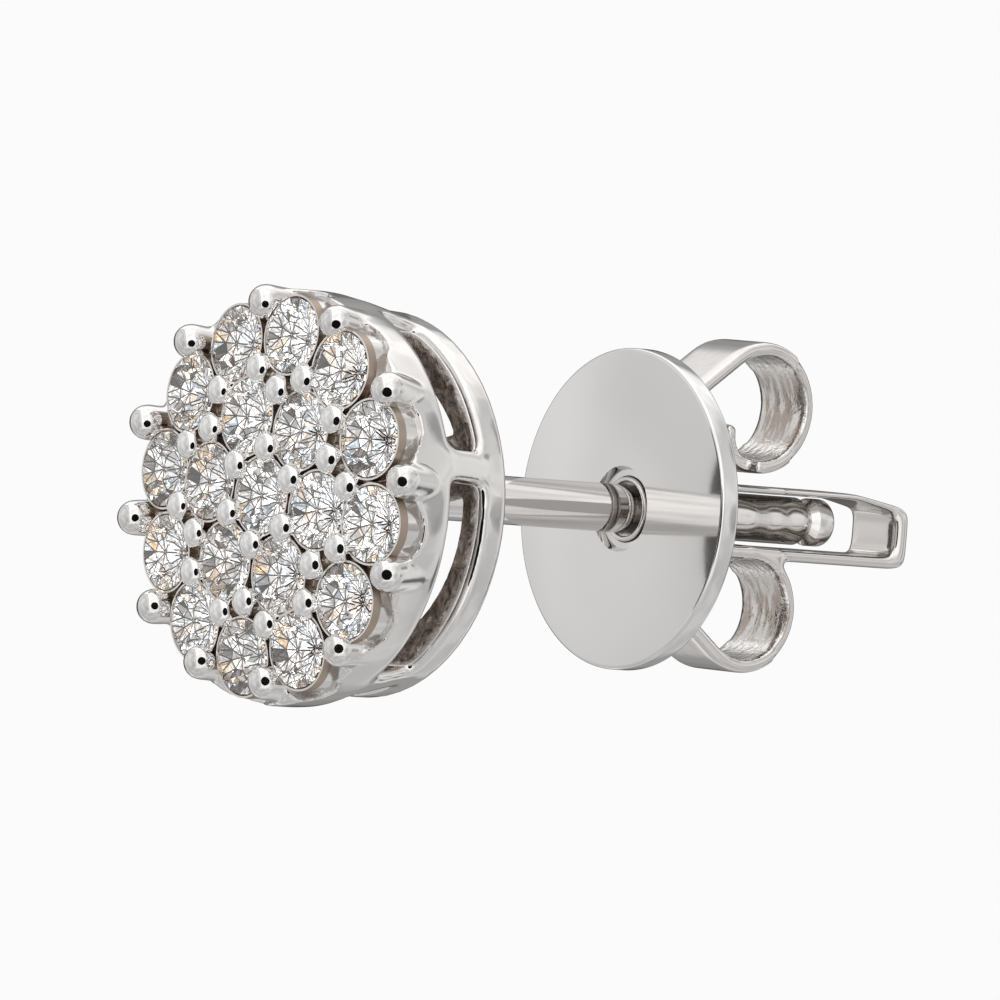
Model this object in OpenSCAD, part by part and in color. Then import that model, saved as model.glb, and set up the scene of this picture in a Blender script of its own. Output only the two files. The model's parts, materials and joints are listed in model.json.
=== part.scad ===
// Round cluster stud earring with a scroll clutch on its post, lying on its side.
// The stud is drawn about its own axis first: the stones face -Y and the ear post runs to +Y.
// at_rest() then lays it down, on the rim of the head and on the lower scroll of the clutch,
// with the origin on the surface, under the middle of the whole stud.
// Distances along the axis are counted from the table of the middle stone.

/* [Stones] */
// Diameter of every brilliant
stone_d = 1.38; // [1.34:0.01:1.4]
// Radius of the ring of six stones
inner_ring_r = 1.55; // [1.53:0.01:1.58]
// Radius of the ring of twelve stones
outer_ring_r = 2.99; // [2.96:0.01:3.02]
// Radius of the low dome that the stones lie on
dome_r = 33; // [30:1:60]
// Turn of the stone pattern about the axis
head_turn = -6; // [-15:1:15]

/* [Head] */
// Outer diameter of the front band
head_d = 7.6; // [7.5:0.02:7.7]
// Outer diameter of the back ring
back_d = 7.1; // [7:0.02:7.3]
// Depth of the head from the tables to the back of the ring
head_depth = 3.1; // [3:0.05:3.2]
// Thickness of the gallery wall
wall_t = 0.4; // [0.35:0.05:0.5]
// Where the front rim runs between two prongs
rim_y = 0.7; // [0.66:0.02:0.9]
// Where the gallery windows start
window_y1 = 1.56; // [1.46:0.02:1.6]
// Where the gallery windows end
window_y2 = 2.48; // [2.4:0.02:2.54]
// Width of a pillar
pillar_w = 0.64; // [0.5:0.02:0.8]
// Width of the flange inside the back ring
flange_w = 0.95; // [0.6:0.05:1.2]
// Diameter of a prong at its bead
prong_d = 0.66; // [0.6:0.02:0.7]
// Diameter of a bead between the stones
bead_d = 0.54; // [0.48:0.02:0.56]

/* [Post] */
// Diameter of the ear post
post_d = 0.9; // [0.8:0.05:0.9]
// Height of the post above the middle of the head
post_rise = 0.24; // [0.1:0.02:0.4]
// Distance from the tables to the tip of the post
post_tip_y = 14.05; // [13.8:0.05:14.3]
// Diameter at the bottom of the locking notch
notch_d = 0.68; // [0.6:0.02:0.76]

/* [Clutch] */
// Diameter of the friction disc
disc_d = 6; // [5.6:0.1:6]
// Thickness of the friction disc
disc_t = 0.42; // [0.38:0.02:0.48]
// Distance from the tables to the front of the disc
disc_y = 8.95; // [8.8:0.05:9.1]
// Play of the disc on the post, as a radius
disc_play = 0.06; // [0.05:0.01:0.08]
// How far askew the clutch sits on the post
clutch_skew = 3; // [0:0.5:3]
// Width of the pressed strip
strip_w = 1.5; // [1.3:0.1:1.8]
// Thickness of the pressed strip
strip_t = 0.26; // [0.22:0.01:0.28]
// Outer radius of the upper scroll
upper_scroll_r = 1.24; // [1.2:0.01:1.26]
// Outer radius of the lower scroll
lower_scroll_r = 1.2; // [1.14:0.01:1.24]
// Distance from the disc's front to the middle of the scrolls
scroll_y = 2.7; // [2.6:0.05:2.8]
// Room between the post and the upper wall of the tail
tail_gap = 0.03; // [0.02:0.01:0.05]
// Distance from the disc's front to the tail's rear face
tail_reach = 6.5; // [6.4:0.05:6.7]

/* [Hidden] */
$fn = 48;
head_r = head_d / 2;
back_r = back_d / 2;
post_r = post_d / 2;
disc_r = disc_d / 2;

// Parts of a brilliant, as shares of its diameter
table_share = 0.57;
crown_share = 0.15;
girdle_share = 0.03;
pavilion_share = 0.43;
crown_h = crown_share * stone_d;
girdle_h = girdle_share * stone_d;
pavilion_h = pavilion_share * stone_d;
stone_r = stone_d / 2;

// Gap between a stone and its seat
seat_gap = 0.03;
// Top of the metal between the stones, and underside of the seat plate
plate_y1 = 0.42;
plate_y2 = 1.3;
bead_r = bead_d / 2;
prong_r = prong_d / 2;
// Prongs in order round the rim: radius and depth of the bead, and how far it stands off its angle
prong_rows = [
    [3.7, 0.44, -1], [3.7, 0.44, -4], [3.58, 0.4, -4], [3.54, 0.32, -2],
    [3.6, 0.28, 3], [3.66, 0.28, 3], [3.66, 0.28, 1], [3.6, 0.28, -1],
    [3.42, 0.3, -3], [3.38, 0.34, -2], [3.52, 0.4, 3], [3.64, 0.44, 2]
];
// Depth that a window is cut to, and where its cut starts outside the wall
window_in = back_r - wall_t - 0.3;
window_out = head_r + 0.5;
// Angles of the gallery's pillars
pillar_turns = [14, 74, 146, 222, 298];
// Plate of the strip behind the disc, its eyelet through the disc, and the eyelet's bore
plate_y = disc_t + 0.02;
plate_t = 0.22;
root_y = plate_y + plate_t / 2;
bore_r = post_r + disc_play;
eyelet_r = bore_r + 0.1;
eyelet_y = 0.08;

// The scrolls' middles, above and below the post; the upper one curls higher
upper_scroll_z = 2.08;
lower_scroll_z = -(post_r + 0.05 + lower_scroll_r);

// The stud's lie: it rests on the head's band and on the round of the lower scroll
head_foot_y = window_y1 - 0.02;
head_reach = head_r + post_rise;
run_y = disc_y + scroll_y - head_foot_y;
drop_z = head_reach + lower_scroll_z;
lie = acos(lower_scroll_r / norm([run_y, drop_z])) - atan2(run_y, drop_z);
lift = head_reach * cos(lie) + head_foot_y * sin(lie);
// Middle of the stud's length: its prongs reach 0.45 before the tables
middle_y = (disc_y + tail_reach - 0.45) / 2;

// Lays the stud down with its lowest points on z = 0
module at_rest() {
    translate([0, -middle_y, lift])
        rotate([-lie, 0, 0])
            children();
}

// Turns a shape drawn about Z so that its Z runs along the stud's axis, from the front
module along_axis() {
    rotate([-90, 0, 0])
        children();
}

// Carries the head, whose middle lies below the post
module head_frame() {
    at_rest()
        translate([0, 0, -post_rise])
            along_axis()
                children();
}

// Puts a stone's frame on the dome, at a distance from the axis and at an angle
module on_dome(r, angle) {
    drop = dome_r - sqrt(dome_r * dome_r - r * r);
    rotate([0, 0, -angle])
        translate([r, 0, drop])
            rotate([0, -asin(r / dome_r), 0])
                children();
}

// Ring of n points at radius r and height z, turned by a share of a step
function ring(n, r, z, turn) =
    [for (i = [0:n - 1]) [r * cos((i + turn) * 360 / n), r * sin((i + turn) * 360 / n), z]];

// Brilliant: eight-sided table, star and kite rows, sixteen-sided girdle, pavilion rows and culet
function brilliant_points() =
    let (
        table_r = table_share * stone_r,
        star_r = 0.79 * stone_r,
        lower_r = 0.36 * stone_r
    )
    concat(
        ring(8, table_r, 0, 0),
        ring(8, star_r, 0.54 * crown_h, 0.5),
        ring(16, stone_r, crown_h, 0),
        ring(16, stone_r, crown_h + girdle_h, 0),
        ring(8, lower_r, crown_h + girdle_h + 0.66 * pavilion_h, 0.5),
        [[0, 0, crown_h + girdle_h + pavilion_h]]
    );

function brilliant_faces() =
    let (table = 0, star = 8, girdle = 16, under = 32, lower = 48, culet = 56)
    concat(
        [[for (i = [0:7]) table + i]],
        [for (i = [0:7]) [star + i, table + (i + 1) % 8, table + i]],
        [for (i = [0:7]) [table + i, girdle + 2 * i, star + i]],
        [for (i = [0:7]) [table + (i + 1) % 8, star + i, girdle + (2 * i + 2) % 16]],
        [for (i = [0:7]) [star + i, girdle + 2 * i, girdle + 2 * i + 1]],
        [for (i = [0:7]) [star + i, girdle + 2 * i + 1, girdle + (2 * i + 2) % 16]],
        [for (i = [0:15]) [girdle + i, under + i, under + (i + 1) % 16, girdle + (i + 1) % 16]],
        [for (i = [0:7]) [under + 2 * i, lower + i, under + 2 * i + 1]],
        [for (i = [0:7]) [under + 2 * i + 1, lower + i, under + (2 * i + 2) % 16]],
        [for (i = [0:7]) [under + (2 * i + 2) % 16, lower + i, lower + (i + 1) % 8]],
        [for (i = [0:7]) [lower + i, culet, lower + (i + 1) % 8]]
    );

module brilliant() {
    color("aliceblue")
        polyhedron(points = brilliant_points(), faces = brilliant_faces(), convexity = 4);
}

// Room for a stone, a little larger than the stone all round
module stone_seat() {
    seat_r = stone_r + seat_gap;
    top_r = table_share * stone_r + seat_gap;
    girdle_y = crown_h + girdle_h;
    rotate_extrude($fn = 32)
        polygon([
            [0, -seat_gap],
            [top_r, -seat_gap],
            [seat_r, crown_h - seat_gap / 2],
            [seat_r, girdle_y + seat_gap / 2],
            [0, girdle_y + pavilion_h + seat_gap]
        ]);
}

// Cut beside an outer stone that lets the rim fall away between two prongs
module scallop() {
    open_r = stone_r + 0.1;
    translate([0, 0, -0.5])
        cylinder(h = 0.5 + rim_y - 0.22, r = open_r);
    translate([0, 0, rim_y - 0.22 - 0.001])
        cylinder(h = 0.24, r1 = open_r, r2 = open_r - 0.14);
}

// Solid of revolution of the head before the stones and windows are cut
module head_blank() {
    step = 0.12;
    rotate_extrude($fn = 96)
        polygon([
            [0, plate_y1],
            [head_r - 0.62, plate_y1 + 0.08],
            [head_r - 0.18, rim_y - 0.09],
            [head_r, rim_y - 0.03],
            [head_r, head_foot_y],
            [back_r + 0.04, window_y2],
            [back_r, window_y2 + step],
            [back_r, head_depth - 0.1],
            [back_r - 0.1, head_depth],
            [back_r - flange_w, head_depth],
            [back_r - flange_w, head_depth - 0.3],
            [back_r - wall_t, head_depth - 0.45],
            [head_r - wall_t - 0.1, plate_y2],
            [0, plate_y2]
        ]);
}

// Sector of the gallery wall between two angles and two depths, made to be cut away
module wall_sector(from, to, y1, y2) {
    rotate([0, 0, -to])
        rotate_extrude(angle = to - from, $fn = 96)
            translate([window_in, y1])
                square([window_out - window_in, y2 - y1]);
}

// Window through the gallery wall between two angles
module gallery_window(from, to) {
    wall_sector(from, to, window_y1, window_y2);
}

module gallery_windows() {
    half_pillar = asin(pillar_w / 2 / head_r);
    last = len(pillar_turns) - 1;
    for (i = [0:last]) {
        next = i < last ? pillar_turns[i + 1] : pillar_turns[0] + 360;
        gallery_window(pillar_turns[i] + half_pillar, next - half_pillar);
    }
}

// Prong: a tapered rod that rises out of the band and ends in a round bead
module prong(tip_r, tip_y) {
    foot_w = 0.38;
    foot_r = head_r - foot_w - 0.02;
    foot_y = head_foot_y - 0.26;
    lean = atan((foot_r - tip_r) / (foot_y - tip_y));
    translate([tip_r, 0, tip_y])
        rotate([0, lean, 0]) {
            sphere(r = prong_r, $fn = 24);
            cylinder(h = (foot_y - tip_y) / cos(lean), r1 = prong_r, r2 = foot_w, $fn = 24);
        }
}

module all_prongs() {
    for (i = [0:11])
        rotate([0, 0, -(head_turn + 15 + 30 * i + prong_rows[i][2])])
            prong(prong_rows[i][0], prong_rows[i][1]);
}

// Bead pushed up between three stones, on a short stem
module bead(r, angle) {
    bead_y = 0.26;
    on_dome(r, head_turn + angle)
        translate([0, 0, bead_y]) {
            sphere(r = bead_r, $fn = 20);
            cylinder(h = 0.5, r = bead_r, $fn = 20);
        }
}

// Beads by sixths: next to the middle stone, between inner and outer stones, and in pairs
module all_beads() {
    for (i = [0:5]) {
        bead(0.9, 30 + 60 * i);
        bead(1.96, 30 + 60 * i);
        bead(2.36, 60 * i - 14);
        bead(2.36, 60 * i + 14);
    }
}

module ear_post() {
    notch_y = post_tip_y - 0.72;
    notch_w = 0.3;
    bevel = 0.12;
    root_y = head_depth - 0.3;
    translate([0, 0, root_y])
        cylinder(h = notch_y - root_y, r = post_r);
    translate([0, 0, notch_y])
        cylinder(h = notch_w / 2, r1 = post_r, r2 = notch_d / 2);
    translate([0, 0, notch_y + notch_w / 2])
        cylinder(h = notch_w / 2, r1 = notch_d / 2, r2 = post_r);
    translate([0, 0, notch_y + notch_w])
        cylinder(h = post_tip_y - bevel - notch_y - notch_w, r = post_r);
    translate([0, 0, post_tip_y - bevel])
        cylinder(h = bevel, r1 = post_r, r2 = post_r - bevel);
}

// Bar across the open back that carries the post
module cross_bar() {
    bar_w = 1.1;
    bar_t = 0.5;
    rotate([0, 0, -pillar_turns[0]])
        translate([-(back_r - 0.3), -bar_w / 2, head_depth - bar_t])
            cube([2 * (back_r - 0.3), bar_w, bar_t]);
}

module each_stone() {
    children();
    for (i = [0:5])
        on_dome(inner_ring_r, head_turn + 60 * i)
            children();
    for (i = [0:11])
        on_dome(outer_ring_r, head_turn + 30 * i)
            children();
}

// Head without its prongs and beads, with the rim cut down between the prongs
module pierced_head() {
    difference() {
        head_blank();
        for (i = [0:11])
            on_dome(outer_ring_r + 0.2, head_turn + 30 * i)
                scallop();
        gallery_windows();
    }
}

module setting() {
    color("gainsboro")
        head_frame() {
            difference() {
                union() {
                    pierced_head();
                    all_prongs();
                    all_beads();
                }
                each_stone()
                    stone_seat();
            }
            translate([0, -post_rise, 0]) {
                cross_bar();
                ear_post();
            }
        }
}

module stone_center() {
    head_frame()
        brilliant();
}

module stone_inner(i) {
    head_frame()
        on_dome(inner_ring_r, head_turn + 60 * (i - 1))
            brilliant();
}

module stone_outer(i) {
    head_frame()
        on_dome(outer_ring_r, head_turn + 30 * (i - 1))
            brilliant();
}

// Carries the clutch, which sits a little askew on the post; its Y is counted from the disc
module clutch_frame() {
    at_rest()
        translate([0, disc_y, 0])
            rotate([0, 0, -clutch_skew])
                children();
}

// Round disc with softened rims and a countersunk hole for the eyelet
module clutch_disc() {
    edge = 0.08;
    hole_r = eyelet_r + 0.02;
    sink_r = 0.8;
    sink_t = 0.17;
    color("gainsboro")
        clutch_frame()
            along_axis()
                rotate_extrude($fn = 96)
                    polygon([
                        [sink_r, 0],
                        [disc_r - edge, 0],
                        [disc_r, edge],
                        [disc_r, disc_t - edge],
                        [disc_r - edge, disc_t],
                        [hole_r, disc_t],
                        [hole_r, sink_t],
                        [sink_r - 0.06, sink_t]
                    ]);
}

// Bends a flat outline of Y and Z into a strip of the given width across X
module strip(width) {
    rotate([90, 0, 90])
        linear_extrude(width, center = true)
            children();
}

// Flat sector of a ring with the strip's thickness, between two angles from +Y
module curl(r, from, to) {
    reach = 3 * r;
    steps = 6;
    fan = [for (i = [0:steps]) from + (to - from) * i / steps];
    intersection() {
        difference() {
            circle(r = r);
            circle(r = r - strip_t);
        }
        polygon(concat([[0, 0]], [for (t = fan) [reach * cos(t), reach * sin(t)]]));
    }
}

// Flat outline of one wing: up behind the disc, then back over the scroll and round to the post
module wing_outline(r, z) {
    rise = 37;
    meet = [scroll_y + r * cos(90 + rise), z + r * sin(90 + rise)];
    run = (meet[0] - root_y) / cos(rise);
    translate([scroll_y, z])
        curl(r, 90 + rise, -95);
    translate(meet)
        rotate(rise)
            translate([-run, -strip_t])
                square([run, strip_t]);
}

// Flat outline of a wing's inner end, which turns up and away from the post
module tongue_outline(r, z) {
    tip_r = 0.68;
    sunk = 0.02;
    translate([scroll_y, z - r + tip_r + sunk])
        curl(tip_r, -80, -200);
}

// Flat outline of the hairpin that closes round the tip of the post
module tail_outline() {
    upper_t = 0.13;
    rear_t = 0.34;
    lower_t = 0.24;
    bend = post_tip_y - disc_y + 0.1;
    corner = 0.13;
    post_z = post_r + tail_gap;
    top_z = 0.42;
    bottom_z = -0.76;
    front = tail_reach - rear_t;
    difference() {
        polygon([
            [root_y, post_z + upper_t],
            [bend, post_z + upper_t],
            [tail_reach - corner, top_z],
            [tail_reach, top_z - corner],
            [tail_reach, bottom_z + corner],
            [tail_reach - corner, bottom_z],
            [root_y, bottom_z]
        ]);
        polygon([
            [0, post_z],
            [bend, post_z],
            [front, top_z - upper_t],
            [front, bottom_z + lower_t],
            [0, bottom_z + lower_t]
        ]);
    }
}

// Pressed strip: plate and eyelet at the disc, a scroll on each side of the post, and the tail
module clutch_butterfly() {
    plate_reach = 1.95;
    tongue_w = 1;
    color("gainsboro")
        clutch_frame() {
            difference() {
                union() {
                    translate([-strip_w / 2, plate_y, -plate_reach])
                        cube([strip_w, plate_t, 2 * plate_reach]);
                    along_axis()
                        translate([0, 0, eyelet_y])
                            cylinder(h = plate_y - eyelet_y + 0.01, r = eyelet_r);
                }
                along_axis()
                    cylinder(h = 2, r = bore_r);
            }
            strip(strip_w) {
                wing_outline(upper_scroll_r, upper_scroll_z);
                mirror([0, 1])
                    wing_outline(lower_scroll_r, -lower_scroll_z);
                tail_outline();
            }
            strip(tongue_w) {
                tongue_outline(upper_scroll_r, upper_scroll_z);
                mirror([0, 1])
                    tongue_outline(lower_scroll_r, -lower_scroll_z);
            }
        }
}

setting();
stone_center();
for (i = [1:6])
    stone_inner(i);
for (i = [1:12])
    stone_outer(i);
clutch_disc();
clutch_butterfly();
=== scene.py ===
import json
import math

import bmesh
import bpy
from mathutils import Matrix, Vector


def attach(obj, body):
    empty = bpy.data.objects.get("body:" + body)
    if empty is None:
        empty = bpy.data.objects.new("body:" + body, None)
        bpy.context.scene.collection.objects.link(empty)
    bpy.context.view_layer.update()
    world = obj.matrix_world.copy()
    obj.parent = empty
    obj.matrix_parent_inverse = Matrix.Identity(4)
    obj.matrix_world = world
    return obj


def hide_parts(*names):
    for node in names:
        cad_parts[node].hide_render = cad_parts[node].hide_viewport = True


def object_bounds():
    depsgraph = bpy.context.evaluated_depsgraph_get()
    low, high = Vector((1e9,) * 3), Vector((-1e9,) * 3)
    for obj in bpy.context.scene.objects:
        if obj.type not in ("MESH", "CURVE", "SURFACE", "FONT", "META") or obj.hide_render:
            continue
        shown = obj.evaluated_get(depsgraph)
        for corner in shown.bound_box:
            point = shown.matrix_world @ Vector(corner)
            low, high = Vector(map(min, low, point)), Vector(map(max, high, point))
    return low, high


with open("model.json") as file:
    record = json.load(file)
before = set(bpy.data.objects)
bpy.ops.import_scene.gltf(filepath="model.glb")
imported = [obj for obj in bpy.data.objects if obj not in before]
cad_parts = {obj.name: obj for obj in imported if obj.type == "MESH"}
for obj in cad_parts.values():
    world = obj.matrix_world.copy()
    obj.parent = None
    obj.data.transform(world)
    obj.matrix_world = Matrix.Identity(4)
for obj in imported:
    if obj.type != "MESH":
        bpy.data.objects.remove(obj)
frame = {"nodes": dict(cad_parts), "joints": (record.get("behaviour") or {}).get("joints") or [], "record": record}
cad_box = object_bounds()

# Setting: one white gold casting with the claws, the scalloped band and the pierced gallery.
# It is polished outside and left as cast inside, where no wheel reaches. Every piece is made
# in millimetres about the post's axis, stones to -Y, and then laid down as the stud rests.
MM = 0.001
post_axis = Vector(frame["joints"][0]["axis"])
mount_point = Vector(frame["record"]["mounts"][0]["pos_m"])
mount_y = 6
lie = math.atan2(-post_axis.z, post_axis.y)
laid = (
    Matrix.Translation(mount_point - post_axis * mount_y * MM)
    @ Matrix.Rotation(-lie, 4, "X")
    @ Matrix.Scale(MM, 4)
)
merge_gap = 0.0005


def finish_piece(bm, name, material, body, sharp):
    """Lays a mesh down in its place and makes it a piece of the given body."""
    bm.transform(laid)
    mesh = bpy.data.meshes.new(name)
    bm.to_mesh(mesh)
    bm.free()
    mesh.shade_smooth()
    mesh.set_sharp_from_angle(angle=math.radians(sharp))
    mesh.materials.append(material)
    piece = bpy.data.objects.new(name, mesh)
    bpy.context.scene.collection.objects.link(piece)
    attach(piece, body)
    return piece


def solid_copy(node):
    """Merged copy of a part's solid, in millimetres about the post's axis."""
    bm = bmesh.new()
    bm.from_mesh(frame["nodes"][node].data)
    bm.transform(laid.inverted())
    bmesh.ops.remove_doubles(bm, verts=bm.verts, dist=merge_gap)
    return bm


def reshaped(bm, kind, **values):
    """Runs one modifier over a mesh."""
    mesh = bpy.data.meshes.new("reshape")
    bm.to_mesh(mesh)
    bm.free()
    model = bpy.data.objects.new("reshape", mesh)
    bpy.context.scene.collection.objects.link(model)
    change = model.modifiers.new("change", kind)
    for name, value in values.items():
        setattr(change, name, value)
    depsgraph = bpy.context.evaluated_depsgraph_get()
    shaped = bpy.data.meshes.new_from_object(model.evaluated_get(depsgraph))
    result = bmesh.new()
    result.from_mesh(shaped)
    bpy.data.objects.remove(model)
    bpy.data.meshes.remove(mesh)
    bpy.data.meshes.remove(shaped)
    return result


def softened(bm, voxel, passes):
    """Rounds every edge and corner, as casting and tumbling do."""
    bm = reshaped(bm, "REMESH", mode="VOXEL", voxel_size=voxel)
    return reshaped(bm, "SMOOTH", factor=0.5, iterations=passes)


def relaxed(bm, verts, rounds):
    """Rounds a part of a mesh further."""
    for _ in range(rounds):
        bmesh.ops.smooth_vert(
            bm, verts=verts, factor=0.5, use_axis_x=True, use_axis_y=True, use_axis_z=True
        )


def add_node(tree, kind, **values):
    """Adds a node and sets its properties."""
    node = tree.nodes.new(kind)
    for name, value in values.items():
        setattr(node, name, value)
    return node


def noise(tree, place, scale, detail):
    """Noise with a scale and detail of its own."""
    node = add_node(tree, "ShaderNodeTexNoise")
    node.inputs["Scale"].default_value = scale
    node.inputs["Detail"].default_value = detail
    tree.links.new(place, node.inputs["Vector"])
    return node


def stretched(tree, place, scale):
    """A place drawn out by its own scale along each axis."""
    node = add_node(tree, "ShaderNodeMapping")
    node.inputs["Scale"].default_value = scale
    tree.links.new(place, node.inputs["Vector"])
    return node.outputs["Vector"]


def band(tree, value, start, end, low=0, high=1, curve="SMOOTHSTEP"):
    """Value that runs from low at start to high at end."""
    node = add_node(tree, "ShaderNodeMapRange", interpolation_type=curve)
    node.inputs["From Min"].default_value = start
    node.inputs["From Max"].default_value = end
    node.inputs["To Min"].default_value = low
    node.inputs["To Max"].default_value = high
    tree.links.new(value, node.inputs["Value"])
    return node.outputs["Result"]


def joined(tree, operation, first, second):
    """Two masks or greys joined by one operation."""
    node = add_node(tree, "ShaderNodeMath", operation=operation)
    tree.links.new(first, node.inputs[0])
    tree.links.new(second, node.inputs[1])
    return node.outputs["Value"]


def times(tree, first, second):
    """Product of two masks or greys."""
    return joined(tree, "MULTIPLY", first, second)


def blend(tree, factor, first, second):
    """Runs from one colour to another, each given as it is or by a node."""
    node = add_node(tree, "ShaderNodeMix", data_type="RGBA")
    for name, value in (("Factor", factor), ("A", first), ("B", second)):
        if isinstance(value, tuple):
            node.inputs[name].default_value = (*value, 1)
        else:
            tree.links.new(value, node.inputs[name])
    return node.outputs["Result"]


def shaded(tree, value, rows, steps="LINEAR"):
    """Colour read from a row of stops, each a place and a colour."""
    node = add_node(tree, "ShaderNodeValToRGB")
    node.color_ramp.interpolation = steps
    shades = node.color_ramp.elements
    while len(shades) < len(rows):
        shades.new(0.5)
    for shade, (place, colour) in zip(shades, rows):
        shade.position = place
        shade.color = (*colour, 1)
    tree.links.new(value, node.inputs["Fac"])
    return node.outputs["Color"]


def wear_group():
    """Fine handling marks and uneven polish: a roughness and a height for the whole stud."""
    group = bpy.data.node_groups.new("handling wear", "ShaderNodeTree")
    sockets = group.interface
    for name, value in (("Grain", 900.0), ("Least", 0.05), ("Most", 0.15)):
        socket = sockets.new_socket(name=name, in_out="INPUT", socket_type="NodeSocketFloat")
        socket.default_value = value
    for name in ("Roughness", "Height"):
        sockets.new_socket(name=name, in_out="OUTPUT", socket_type="NodeSocketFloat")
    given = group.nodes.new("NodeGroupInput")
    result = group.nodes.new("NodeGroupOutput")
    place = group.nodes.new("ShaderNodeTexCoord")
    marks = noise(group, place.outputs["Object"], scale=900, detail=4)
    group.links.new(given.outputs["Grain"], marks.inputs["Scale"])
    spread = add_node(group, "ShaderNodeMapRange")
    spread.inputs["From Min"].default_value = 0.35
    spread.inputs["From Max"].default_value = 0.7
    group.links.new(marks.outputs["Fac"], spread.inputs["Value"])
    group.links.new(given.outputs["Least"], spread.inputs["To Min"])
    group.links.new(given.outputs["Most"], spread.inputs["To Max"])
    group.links.new(spread.outputs["Result"], result.inputs["Roughness"])
    group.links.new(marks.outputs["Fac"], result.inputs["Height"])
    return group


handling_wear = wear_group()
wear_depth = 0.1 * MM
white_gold = (0.89, 0.865, 0.845)


def metal(name, colour, least, most, grain=900, bump=0.02):
    """White gold with its own colour and range of roughness."""
    material = bpy.data.materials.new(name)
    material.use_nodes = True
    tree = material.node_tree
    shader = tree.nodes["Principled BSDF"]
    shader.inputs["Base Color"].default_value = (*colour, 1)
    shader.inputs["Metallic"].default_value = 1
    wear = add_node(tree, "ShaderNodeGroup", name="wear", node_tree=handling_wear)
    wear.inputs["Grain"].default_value = grain
    wear.inputs["Least"].default_value = least
    wear.inputs["Most"].default_value = most
    relief = add_node(tree, "ShaderNodeBump")
    relief.inputs["Strength"].default_value = bump
    relief.inputs["Distance"].default_value = wear_depth
    tree.links.new(wear.outputs["Roughness"], shader.inputs["Roughness"])
    tree.links.new(wear.outputs["Height"], relief.inputs["Height"])
    tree.links.new(relief.outputs["Normal"], shader.inputs["Normal"])
    return material


def relief_over(tree, height, distance):
    """Adds a relief, its full depth given in millimetres, on top of what the material has."""
    shader = tree.nodes["Principled BSDF"]
    under = shader.inputs["Normal"].links[0].from_socket
    node = add_node(tree, "ShaderNodeBump")
    node.inputs["Strength"].default_value = 1
    node.inputs["Distance"].default_value = distance * MM
    tree.links.new(height, node.inputs["Height"])
    tree.links.new(under, node.inputs["Normal"])
    tree.links.new(node.outputs["Normal"], shader.inputs["Normal"])


def upright(tree):
    """Millimetres about the post's axis, read from Object coordinates."""
    place = add_node(tree, "ShaderNodeTexCoord")
    straight = add_node(tree, "ShaderNodeMapping")
    straight.inputs["Scale"].default_value = (1 / MM, 1 / MM, 1 / MM)
    straight.inputs["Rotation"].default_value = (lie, 0, 0)
    straight.inputs["Location"].default_value = laid.inverted().translation
    tree.links.new(place.outputs["Object"], straight.inputs["Vector"])
    return straight.outputs["Vector"]


def along_post(tree, place):
    """Millimetres along the post's axis."""
    parts = add_node(tree, "ShaderNodeSeparateXYZ")
    tree.links.new(place, parts.inputs["Vector"])
    return parts.outputs["Y"]


def off_axis(tree, place, middle, across):
    """Millimetres from a line through middle, where across is 0 along the line and 1 elsewhere."""
    offset = add_node(tree, "ShaderNodeVectorMath", operation="SUBTRACT")
    offset.inputs[1].default_value = middle
    tree.links.new(place, offset.inputs[0])
    flat = add_node(tree, "ShaderNodeVectorMath", operation="MULTIPLY")
    flat.inputs[1].default_value = across
    tree.links.new(offset.outputs["Vector"], flat.inputs[0])
    length = add_node(tree, "ShaderNodeVectorMath", operation="LENGTH")
    tree.links.new(flat.outputs["Vector"], length.inputs[0])
    return length.outputs["Value"]


head_low = 0.24

# Zones of the casting: each pair is where a zone starts and where it is full.
inside_r = (3.42, 3.3)
gallery_front_y = (1.1, 1.25)
gallery_back_y = (3.05, 2.9)
between_front_y = (0.28, 0.6)
between_back_y = (1.25, 1.1)

# Tones and depths of the casting: rough where no wheel has polished it. Its browns are painted
# shade between the stones and on the cup walls; inside the gallery the dull as-cast tone is
# darkened into painted shade, and its ridges carry painted highlights.
between_shade_gold = (0.70, 0.62, 0.53)
cup_shade_brown = (0.5, 0.4, 0.32)
as_cast_shade_and_glint = [(0.4, (0.19, 0.14, 0.115)), (0.58, (0.68, 0.57, 0.5)), (0.64, (1, 0.98, 0.96))]
as_cast_metallic = 0.35
as_cast_roughness = 0.5
wrinkle_depth = 0.4
ripple_depth = 0.08


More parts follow.
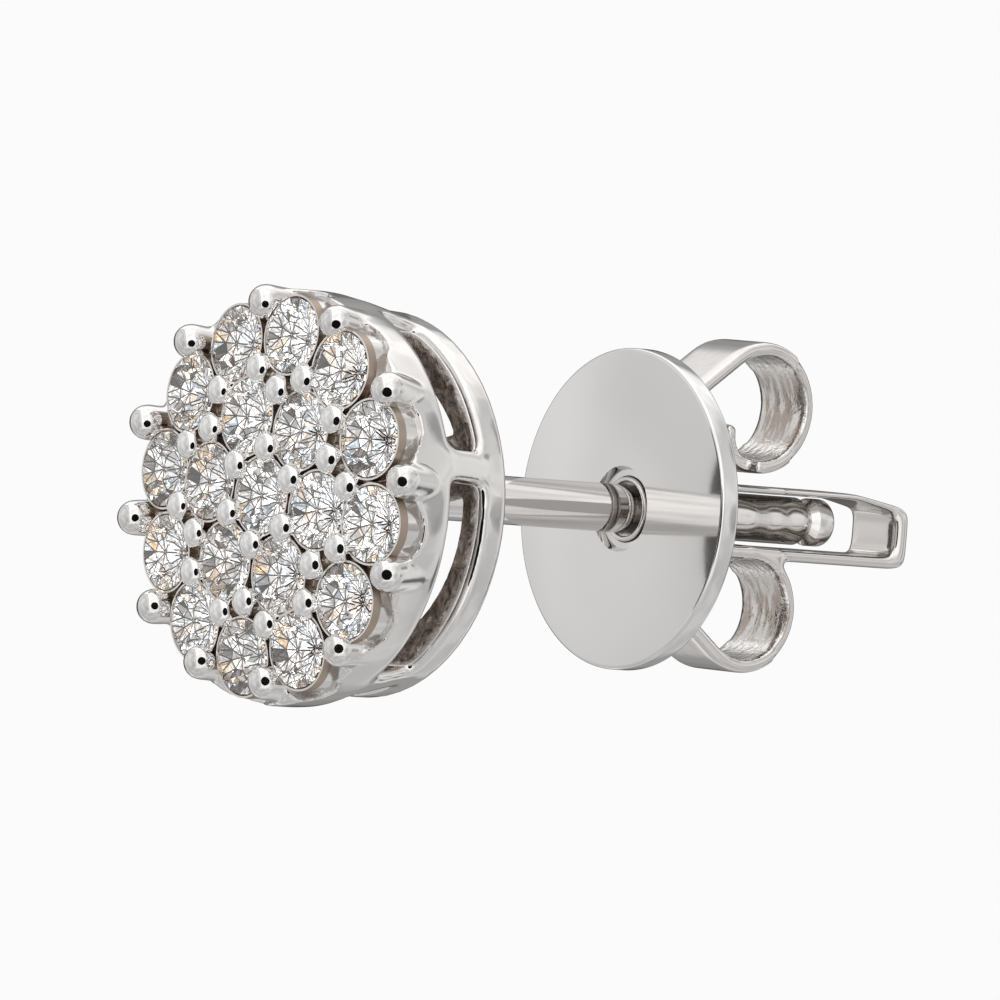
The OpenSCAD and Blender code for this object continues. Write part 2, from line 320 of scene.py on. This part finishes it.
def cast_gold():
    """Polished outside; inside the gallery dull and ridged, with painted shade and painted highlights; painted
    shade between stones and on cup walls.
    """
    material = metal("cast white gold", white_gold, least=0.03, most=0.09)
    tree = material.node_tree
    shader = tree.nodes["Principled BSDF"]
    wear = tree.nodes["wear"]
    place = upright(tree)
    along = along_post(tree, place)
    inside = band(tree, off_axis(tree, place, (0, 0, -head_low), (1, 0, 1)), *inside_r)
    gallery = times(tree, band(tree, along, *gallery_front_y), band(tree, along, *gallery_back_y))
    core = times(tree, inside, gallery)
    front = times(tree, band(tree, along, *between_front_y), band(tree, along, *between_back_y))
    shade_between = times(tree, inside, front)
    # Gallery inside: dull as-cast gold darkened to brown as painted shade, with painted highlights where the
    # wrinkles rise.
    wrinkles = noise(tree, stretched(tree, place, (1, 2, 1)), scale=2.8, detail=4)
    wrinkles.inputs["Roughness"].default_value = 0.7
    wrinkles.inputs["Distortion"].default_value = 1.2
    raw_shade_and_glint = shaded(tree, wrinkles.outputs["Fac"], as_cast_shade_and_glint)
    # The seat attribute holds a painted shade on the outer cup walls.
    cup_shade_attr = add_node(tree, "ShaderNodeAttribute", attribute_name="seat")
    # Painted shade: the gold between the stones is darkened to a dusky brown.
    between_shaded = blend(tree, shade_between, white_gold, between_shade_gold)
    skin = blend(tree, core, blend(tree, cup_shade_attr.outputs["Fac"], between_shaded, cup_shade_brown), raw_shade_and_glint)
    tree.links.new(skin, shader.inputs["Base Color"])
    rough_part = joined(tree, "MAXIMUM", core, cup_shade_attr.outputs["Fac"])
    sheen = band(tree, rough_part, 0, 1, 1, as_cast_metallic, "LINEAR")
    tree.links.new(sheen, shader.inputs["Metallic"])
    dull = add_node(tree, "ShaderNodeMix", data_type="FLOAT")
    dull.inputs["B"].default_value = as_cast_roughness
    tree.links.new(rough_part, dull.inputs["Factor"])
    tree.links.new(wear.outputs["Roughness"], dull.inputs["A"])
    tree.links.new(dull.outputs["Result"], shader.inputs["Roughness"])
    relief_over(tree, times(tree, wrinkles.outputs["Fac"], core), wrinkle_depth)
    ripples = noise(tree, place, scale=0.7, detail=0)
    relief_over(tree, ripples.outputs["Fac"], ripple_depth)
    return material


# The post is cut off behind the cross bar, and is made again as a piece of its own below.
head_back_y = 3.1
post_stub = 0.06
casting_voxel = 0.042
casting_passes = 9
window_y = (1.2, 2.8)
window_r = 3.25
window_rounds = 45
faces_kept = 0.42
casting = solid_copy("setting")
bmesh.ops.bisect_plane(
    casting, geom=casting.verts[:] + casting.edges[:] + casting.faces[:],
    plane_co=(0, head_back_y + post_stub, 0), plane_no=(0, 1, 0), clear_outer=True,
)
bmesh.ops.holes_fill(casting, edges=casting.edges, sides=0)
casting = softened(casting, casting_voxel, casting_passes)
windows = [
    vert for vert in casting.verts
    if window_y[0] < vert.co.y < window_y[1]
    and math.hypot(vert.co.x, vert.co.z + head_low) > window_r
]
relaxed(casting, windows, window_rounds)
casting = reshaped(casting, "DECIMATE", ratio=faces_kept)
casting.normal_update()

# Walls of the outer cups face the middle of the head and get a painted shade, a share of brown
# held in the seat attribute.
cup_y = (0.45, 1.3)
cup_r = 2.9
cup_facing = 0.3
cup_shade_share = 0.35
# Painted shade: a brown share on the outer cup walls that face the middle.
cup_shade_layer = casting.verts.layers.float_color.new("seat")
for vert in casting.verts:
    spoke = Vector((vert.co.x, 0, vert.co.z + head_low))
    inward = -vert.normal.dot(spoke.normalized())
    share = 0
    if spoke.length > cup_r and cup_y[0] < vert.co.y < cup_y[1]:
        share = cup_shade_share * min(max((inward - cup_facing) / cup_facing, 0), 1)
    vert[cup_shade_layer] = (share, share, share, 1)
setting = finish_piece(casting, "setting_casting", cast_gold(), "stud", sharp=60)
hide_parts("setting")

# Grains: 24 beads of white gold that hold the stones from between, each raised from the plate
# and rounded over the girdles with a cup tool. Their gold is painted paler than the rest, a
# painted highlight that makes them the brightest points. Each row of grain_rows is the radius
# and angle of one bead in a sixth of the head.
grain_r = 0.285
grain_y = 0.17
grain_rise = 0.72
grain_waist = 0.97
grain_waist_y = 0.3
grain_foot = 1.1
grain_foot_y = 0.5
grain_rows = [(0.9, 30), (1.96, 30), (2.36, -14), (2.36, 14)]
head_turn = -6
dome_r = 33


def turned(outline, steps):
    """Turns an outline of radius and depth about the post's axis."""
    bm = bmesh.new()
    corners = [bm.verts.new((radius, depth, 0)) for radius, depth in outline]
    for first, second in zip(corners, corners[1:]):
        bm.edges.new((first, second))
    bmesh.ops.spin(
        bm, geom=bm.verts[:] + bm.edges[:], cent=(0, 0, 0), axis=(0, 1, 0),
        angle=math.tau, steps=steps, use_merge=True,
    )
    bmesh.ops.remove_doubles(bm, verts=bm.verts, dist=merge_gap)
    bmesh.ops.recalc_face_normals(bm, faces=bm.faces)
    return bm


def arc(middle_r, middle_y, radius, start, end, count):
    """Points of an outline on a circle, between two angles from outward."""
    points = []
    for step in range(count + 1):
        angle = math.radians(start + (end - start) * step / count)
        points.append((middle_r + radius * math.cos(angle), middle_y + radius * math.sin(angle)))
    return points


def join(whole, part, matrix):
    """Adds a placed copy of one mesh to another."""
    mesh = bpy.data.meshes.new("join")
    placed = part.copy()
    placed.transform(matrix)
    placed.to_mesh(mesh)
    placed.free()
    whole.from_mesh(mesh)
    bpy.data.meshes.remove(mesh)


def on_dome(radius, angle):
    """Places a shape on the low dome of stones, its front along -Y, as the casting has it."""
    drop = dome_r - math.sqrt(dome_r * dome_r - radius * radius)
    return (
        Matrix.Translation((0, 0, -head_low))
        @ Matrix.Rotation(-math.radians(angle + head_turn), 4, "Y")
        @ Matrix.Translation((radius, drop, 0))
        @ Matrix.Rotation(math.asin(radius / dome_r), 4, "Z")
    )


one_grain = turned(
    [(r, grain_y + grain_rise * y) for r, y in arc(0, 0, grain_r, -90, 0, count=12)]
    + [(grain_r * grain_waist, grain_waist_y), (grain_r * grain_foot, grain_foot_y)],
    steps=32,
)
grains = bmesh.new()
for sixth in range(6):
    for radius, angle in grain_rows:
        join(grains, one_grain, on_dome(radius, angle + 60 * sixth))
one_grain.free()
# Painted highlight: the beads' gold is paler than the rest of the gold.
bead_highlight_gold = metal("white gold painted bright", (0.98, 0.97, 0.955), least=0.03, most=0.07)
finish_piece(grains, "grains", bead_highlight_gold, "stud", sharp=40)

# Seats: a cup cut for every stone, its thin lip burnished bright below the girdle and its wall
# painted a dull brown, a painted shade inside the cup. Its outline runs from the lip down the
# wall, across underneath and back up inside to the lip.
lip_r = 0.712
lip_y = 0.222
lip_depth = 0.01
seat_wall = 0.036
bright_below_y = 0.45
bright_out_r = 0.7
inner_row_r = 1.55
outer_row_r = 2.99
one_seat = turned(
    [(lip_r, lip_y), (lip_r + seat_wall, lip_y), (0.756, 0.3), (0.768, 0.4), (0.79, 0.76)]
    + [(0.5, 0.8), (0.32, 0.66), (lip_r - lip_depth, 0.28), (lip_r, lip_y)],
    steps=40,
)
for face in one_seat.faces:
    middle = face.calc_center_median()
    on_lip = middle.y < lip_y + lip_depth
    below = middle.y > bright_below_y and math.hypot(middle.x, middle.z) > bright_out_r
    if on_lip or below:
        face.material_index = 1
seats_cut = bmesh.new()
join(seats_cut, one_seat, on_dome(0, 0))
for sixth in range(6):
    join(seats_cut, one_seat, on_dome(inner_row_r, 60 * sixth))
for twelfth in range(12):
    join(seats_cut, one_seat, on_dome(outer_row_r, 30 * twelfth))
one_seat.free()
# Painted shade: the seat walls are a dull brown; the lips and lower parts stay polished gold.
seat_shade_gold = metal("seat wall painted shade", (0.5, 0.41, 0.34), least=0.3, most=0.45)
polished = metal("polished white gold", white_gold, least=0.03, most=0.09)
seats_piece = finish_piece(seats_cut, "stone_seats", seat_shade_gold, "stud", sharp=40)
seats_piece.data.materials.append(polished)

# Ear post: 0.9 mm white gold wire soldered to the cross bar, with a fillet of solder at its
# root, a rounded tip and the notch that the clutch snaps into. The clutch has left pinch marks
# on its far end.
post_r = 0.45
post_tip_y = 14.05
fillet_r = 0.15
root_depth = 0.02
notch_from_tip = 0.72
notch_y = post_tip_y - notch_from_tip
notch_w = 0.3
notch_r = 0.34
notch_flat = 0.03
notch_edge = 0.02
notch_lip_r = post_r - 0.01
tip_bevel = 0.12
pinch_y = (9.4, 10.2)
pinch_depth = 0.18
post = turned(
    [(post_r + fillet_r + root_depth, head_back_y - root_depth)]
    + arc(post_r + fillet_r, head_back_y + fillet_r, fillet_r, 270, 180, count=6)
    + [(post_r, notch_y - notch_edge), (notch_lip_r, notch_y)]
    + [(notch_r, notch_y + notch_w / 2 - notch_flat), (notch_r, notch_y + notch_w / 2 + notch_flat)]
    + [(notch_lip_r, notch_y + notch_w), (post_r, notch_y + notch_w + notch_edge)]
    + arc(post_r - tip_bevel, post_tip_y - tip_bevel, tip_bevel, 0, 90, count=6)
    + [(0, post_tip_y)],
    steps=64,
)
drawn = metal("drawn white gold", white_gold, least=0.03, most=0.07)
wire = drawn.node_tree
wire_place = upright(wire)
pinches = noise(wire, wire_place, scale=0.9, detail=1)
worn_end = times(wire, pinches.outputs["Fac"], band(wire, along_post(wire, wire_place), *pinch_y))
relief_over(wire, worn_end, pinch_depth)
finish_piece(post, "ear_post", drawn, "stud", sharp=35)

# Stones: 19 round brilliants of 1.38 mm, set in their cups under the claws and grains. Their
# shape is the part's own. The lower facets are painted with the greys, straw and blue of a
# brilliant's reflections, each with a painted thin dark edge, and glow a little: painted
# reflections and a painted glow.
diamond = bpy.data.materials.new("brilliant")
diamond.use_nodes = True
fire = diamond.node_tree.nodes["Principled BSDF"]
fire.inputs["Base Color"].default_value = (1, 1, 1, 1)
fire.inputs["Roughness"].default_value = 0
fire.inputs["IOR"].default_value = 2.42
fire.inputs["Transmission Weight"].default_value = 1
# Painted reflections and a painted glow: the lower facets glow in the colours of their rows.
bright = bpy.data.materials.new("pavilion")
bright.use_nodes = True
flash = bright.node_tree.nodes["Principled BSDF"]
facet_light = add_node(bright.node_tree, "ShaderNodeAttribute", attribute_name="facet")
bright.node_tree.links.new(facet_light.outputs["Color"], flash.inputs["Base Color"])
bright.node_tree.links.new(facet_light.outputs["Color"], flash.inputs["Emission Color"])
flash.inputs["Emission Strength"].default_value = 0.34
flash.inputs["Metallic"].default_value = 1
flash.inputs["Roughness"].default_value = 0.02
same_facet = math.radians(0.5)
facing_back = 0.3
culet_gap = 0.01
edge_w = 0.014
facet_edge_painted_dark = (0.05, 0.035, 0.025, 1)
clear = (1, 1, 1, 1)
mains = [clear, (0.8, 0.8, 0.8, 1), clear, (0.84, 0.9, 0.96, 1)]
halves = [
    clear, (0.1, 0.085, 0.075, 1), clear, (0.9, 0.74, 0.56, 1),
    clear, (0.4, 0.37, 0.35, 1), (0.85, 0.92, 0.98, 1), clear,
]
colour_step = 3
stone_names = [name for name in frame["nodes"] if name.startswith("stone_")]
for number, node in enumerate(sorted(stone_names)):
    stone = solid_copy(node)
    bmesh.ops.dissolve_limit(
        stone, angle_limit=same_facet, verts=stone.verts[:], edges=stone.edges[:]
    )
    middle = sum((vert.co for vert in stone.verts), Vector()) / len(stone.verts)
    culet_y = max(vert.co.y for vert in stone.verts)
    facet_lights = stone.loops.layers.float_color.new("facet")
    under = [face for face in stone.faces if face.normal.y > facing_back]
    for face in under:
        spoke = face.calc_center_median() - middle
        turn = math.degrees(math.atan2(spoke.z, spoke.x)) % 360
        at_culet = max(vert.co.y for vert in face.verts) > culet_y - culet_gap
        rows = mains if at_culet else halves
        facets = 8 if at_culet else 16
        colour = rows[(int(turn / 360 * facets) * colour_step + number) % len(rows)]
        face.material_index = 1
        for corner in face.loops:
            corner[facet_lights] = colour
    # Painted dark edges round each lower facet.
    rims = bmesh.ops.inset_individual(
        stone, faces=under, thickness=edge_w, use_even_offset=True
    )
    for face in rims["faces"]:
        face.material_index = 1
        for corner in face.loops:
            corner[facet_lights] = facet_edge_painted_dark
    piece = finish_piece(
        stone, node.replace("stone", "brilliant"), diamond, "stud", sharp=1
    )
    piece.data.materials.append(bright)
    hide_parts(node)

# Friction disc: turned white gold plate that keeps the scrolls off the ear. It is finely rubbed
# all over, with softened rims and a countersunk hole where the eyelet is spread.
disc_r = 3
disc_t = 0.42
disc_y = 8.95
front_edge = 0.07
back_edge = 0.08
hole_r = 0.63
sunk_r = 0.8
sunk_y = 0.17
sunk_floor_r = 0.74
sunk_floor_y = 0.16
skew = 3
clutch_place = Matrix.Translation((0, disc_y, 0)) @ Matrix.Rotation(-math.radians(skew), 4, "Z")
satin = metal(
    "satin white gold", (0.88, 0.87, 0.86), least=0.06, most=0.1, grain=1500, bump=0.01
)
disc = turned(
    [(hole_r, sunk_y), (sunk_floor_r, sunk_floor_y), (sunk_r, 0.0)]
    + arc(disc_r - front_edge, front_edge, front_edge, -90, 0, count=5)
    + arc(disc_r - back_edge, disc_t - back_edge, back_edge, 0, 90, count=5)
    + [(hole_r, disc_t), (hole_r, sunk_y)],
    steps=160,
)
disc.transform(clutch_place)
disc_piece = finish_piece(
    disc, "friction_disc", satin, "clutch", sharp=35
)
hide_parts("clutch_disc")

# Butterfly: one pressed strip of white gold, its ends rolled into two scrolls that grip the
# post and its middle drawn out to a loop round the post's tip. Drag lines and pits show inside
# the scrolls, which turn browner towards their far side.
pressed_gold = (0.84, 0.81, 0.785)
far_brown_gold = (0.5, 0.43, 0.38)
scroll_y = 11.65
upper_z = 2.08
lower_z = -1.7
upper_bore_r = (1.04, 1.0)
lower_bore_r = (1.0, 0.96)
drag_depth = 0.02
far_brown_y = (12.2, 12.6)
far_brown_in_drag = (0.4, 0.56)
strip_voxel = 0.036
strip_passes = 5
more_rounds = [(0.6, 25), (3.4, 45)]
pressed_metal = metal(
    "pressed white gold", pressed_gold, least=0.06, most=0.16, grain=1200, bump=0.05
)
pressed = pressed_metal.node_tree
pressed_place = upright(pressed)
drag_place = stretched(pressed, pressed_place, (5, 1.2, 1.2))
drag = noise(pressed, drag_place, scale=1.5, detail=4)
pits = noise(pressed, pressed_place, scale=9, detail=3)
marks = joined(pressed, "ADD", drag.outputs["Fac"], pits.outputs["Fac"])
from_upper = off_axis(pressed, pressed_place, (0, scroll_y, upper_z), (0, 1, 1))
from_lower = off_axis(pressed, pressed_place, (0, scroll_y, lower_z), (0, 1, 1))
bore = joined(
    pressed, "MAXIMUM",
    band(pressed, from_upper, *upper_bore_r), band(pressed, from_lower, *lower_bore_r),
)
relief_over(pressed, times(pressed, marks, bore), drag_depth)
# Browner inside the scrolls towards their far side.
far = band(pressed, along_post(pressed, pressed_place), *far_brown_y)
far_brown_mask = times(pressed, far, band(pressed, drag.outputs["Fac"], *far_brown_in_drag))
far_browned = blend(pressed, times(pressed, far_brown_mask, bore), pressed_gold, far_brown_gold)
pressed.links.new(far_browned, pressed.nodes["Principled BSDF"].inputs["Base Color"])
butterfly = solid_copy("clutch_butterfly")
butterfly.transform(clutch_place.inverted())
butterfly = softened(butterfly, strip_voxel, strip_passes)
for behind_y, rounds in more_rounds:
    relaxed(butterfly, [vert for vert in butterfly.verts if vert.co.y > behind_y], rounds)
butterfly.transform(clutch_place)
butterfly_piece = finish_piece(
    butterfly, "scroll_spring", pressed_metal, "clutch", sharp=60
)
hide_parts("clutch_butterfly")

# Studio: the camera looks along the stud from beside its stones, with a long lens. The room is
# white, with grey panels and dark flags that draw the lines in polished metal.
scene = bpy.context.scene
camera_side = math.radians(49)
camera_rise = math.radians(4.966)
camera_back = 0.22269
aim_right = -0.00118
aim_up = 0.003416
back = Vector((
    math.sin(camera_side) * math.cos(camera_rise),
    -math.cos(camera_side) * math.cos(camera_rise),
    math.sin(camera_rise),
))
right = Vector((math.cos(camera_side), math.sin(camera_side), 0))
up = back.cross(right)
lens = bpy.data.cameras.new("camera")
lens.lens = 432
lens.sensor_width = 36
lens.clip_start = 0.01
camera = bpy.data.objects.new("camera", lens)
scene.collection.objects.link(camera)
facing = Matrix((right, up, back)).transposed().to_4x4()
spot = right * aim_right + up * aim_up + back * camera_back
camera.matrix_world = Matrix.Translation(spot) @ facing
scene.camera = camera
scene.view_settings.view_transform = "Standard"
scene.cycles.max_bounces = 16
scene.cycles.glossy_bounces = 10
scene.cycles.transmission_bounces = 16
world = bpy.data.worlds.new("studio")
scene.world = world
world.use_nodes = True
room = world.node_tree
room.nodes.clear()
seen = room.nodes.new("ShaderNodeLightPath")
look = room.nodes.new("ShaderNodeTexCoord")


def across_room(direction):
    """How far a ray looks towards a direction, from -1 to 1."""
    towards = add_node(room, "ShaderNodeVectorMath", operation="DOT_PRODUCT")
    towards.inputs[1].default_value = direction
    room.links.new(look.outputs["Generated"], towards.inputs[0])
    return towards.outputs["Value"]


# Wall: greys from the camera's left to its right, duller below and brighter above.
wall_greys = [
    (0.0, 0.69), (0.03, 0.64), (0.06, 0.56), (0.12, 0.78), (0.135, 0.5), (0.145, 0.5),
    (0.17, 1.08), (0.75, 1.1), (0.9, 0.86), (0.96, 0.62), (1.0, 0.72),
]
table_grey = (0.66, 0.65, 0.64)
table_rise = (-0.62, -0.72)
light_rise = (-0.45, 0.35)
light_below = 0.86
light_above = 1.04
side = band(room, across_room(right), -1, 1)
rise = across_room(up)
wall = shaded(room, side, [(place, (grey, grey, grey)) for place, grey in wall_greys])
wall = blend(room, band(room, rise, *table_rise), wall, table_grey)
wall = times(room, wall, band(room, rise, *light_rise, light_below, light_above))

# Far end: dark behind the stud, which puts a thin dark line along each polished edge.
far_depth = (-0.6, -0.8)
far_dark = 0.12
rise_squared = (0.02, 0.1)
off_height = 0.7
far_end = band(room, across_room(back), *far_depth)
at_eye_height = band(room, times(room, rise, rise), *rise_squared, 1, off_height)
wall = times(room, wall, band(room, times(room, far_end, at_eye_height), 0, 1, 1, far_dark))

# Flags: each an angle out from the camera, an angle round its axis, a half width and a grey.
flags = [(84, -5, 10, 0.55), (100, 25, 9, 0.5), (112, -28, 10, 0.3)]
flag_core = 0.3
for out, round_axis, width, grey in flags:
    out = math.radians(out)
    round_axis = math.radians(round_axis)
    across = right * math.cos(round_axis) + up * math.sin(round_axis)
    direction = back * math.cos(out) + across * math.sin(out)
    edge = math.cos(math.radians(width))
    core = math.cos(math.radians(width * flag_core))
    wall = times(room, wall, band(room, across_room(direction), edge, core, 1, grey))

# Unevenness of the room's light, which dims with every reflection between pieces of metal.
patch_spread = (0.4, 0.6)
patch_low = 0.9
patch_high = 1.12
fade_depth = (2, 5)
faded = 0.35
patches = noise(room, look.outputs["Generated"], scale=2.4, detail=2)
uneven = band(room, patches.outputs["Fac"], *patch_spread, patch_low, patch_high)
wall = times(room, wall, uneven)
wall = times(room, wall, band(room, seen.outputs["Ray Depth"], *fade_depth, 1, faded))

# What the stones show: broken light with a little blue and straw colour.
tints = [
    (0.0, (1.5, 1.5, 1.5)), (0.4, (0.8, 0.8, 0.8)), (0.5, (0.72, 0.86, 1.0)),
    (0.58, (2.4, 2.4, 2.4)), (0.77, (0.95, 0.66, 0.42)), (0.85, (0.05, 0.045, 0.04)),
]
cells = add_node(room, "ShaderNodeTexVoronoi", feature="F1")
cells.inputs["Scale"].default_value = 3.2
room.links.new(look.outputs["Generated"], cells.inputs["Vector"])
cell_parts = add_node(room, "ShaderNodeSeparateColor")
room.links.new(cells.outputs["Color"], cell_parts.inputs["Color"])
broken = shaded(room, cell_parts.outputs["Red"], tints, "CONSTANT")
white = 0.965
lit = blend(room, seen.outputs["Is Transmission Ray"], wall, broken)
lit = blend(room, seen.outputs["Is Camera Ray"], lit, (white, white, white))
light = add_node(room, "ShaderNodeBackground")
room_out = room.nodes.new("ShaderNodeOutputWorld")
room.links.new(lit, light.inputs["Color"])
room.links.new(light.outputs["Background"], room_out.inputs["Surface"])


def glowing(name):
    """A material that only glows, with its shader."""
    material = bpy.data.materials.new(name)
    material.use_nodes = True
    tree = material.node_tree
    tree.nodes.clear()
    glow = add_node(tree, "ShaderNodeEmission")
    surface = tree.nodes.new("ShaderNodeOutputMaterial")
    tree.links.new(glow.outputs["Emission"], surface.inputs["Surface"])
    return material, glow


def prop(bm, name, material):
    """Makes an object of the studio from a mesh."""
    mesh = bpy.data.meshes.new(name)
    bm.to_mesh(mesh)
    bm.free()
    mesh.materials.append(material)
    thing = bpy.data.objects.new(name, mesh)
    scene.collection.objects.link(thing)
    return thing


# Floor: white paper with no shadow on it, as the photograph shows it. It lies a little low, so
# that the clutch clears it when it is slid out along the sloping post.
floor_size = 0.25
floor_drop = 0.00065
paper, paper_glow = glowing("white paper")
paper_glow.inputs["Color"].default_value = (white, white, white, 1)
floor = bmesh.new()
bmesh.ops.create_grid(floor, x_segments=2, y_segments=2, size=floor_size)
bmesh.ops.translate(floor, verts=floor.verts, vec=(0, 0, cad_box[0][2] - floor_drop))
floor_piece = prop(floor, "floor", paper)
floor_piece.visible_glossy = False

# Lens card: a black disc before the stones, unseen by the camera, that puts the dark spot of a
# lens into every bead. It is pale in second reflections, so that it leaves the post light.
card_away = 0.013
card_r = 0.0068
card_drop = math.radians(7)
card_black = 0.006
card_pale = 0.4
first_or_second = (1.2, 1.8)
stones_y = 0.2
head_middle = laid @ Vector((0, stones_y, -head_low))
felt, felt_glow = glowing("black felt")
pile = felt.node_tree
bounce = pile.nodes.new("ShaderNodeLightPath")
paler = band(
    pile, bounce.outputs["Ray Depth"], *first_or_second, card_black, card_pale, "LINEAR"
)
pile.links.new(paler, felt_glow.inputs["Strength"])
card = bmesh.new()
bmesh.ops.create_circle(card, cap_ends=True, radius=card_r, segments=48)
card.transform(facing)
card_side = back * math.cos(card_drop) - up * math.sin(card_drop)
bmesh.ops.translate(card, verts=card.verts, vec=head_middle + card_side * card_away)
card_piece = prop(card, "lens_card", felt)
card_piece.visible_camera = False
card_piece.visible_diffuse = False
card_piece.visible_transmission = False
card_piece.visible_shadow = False
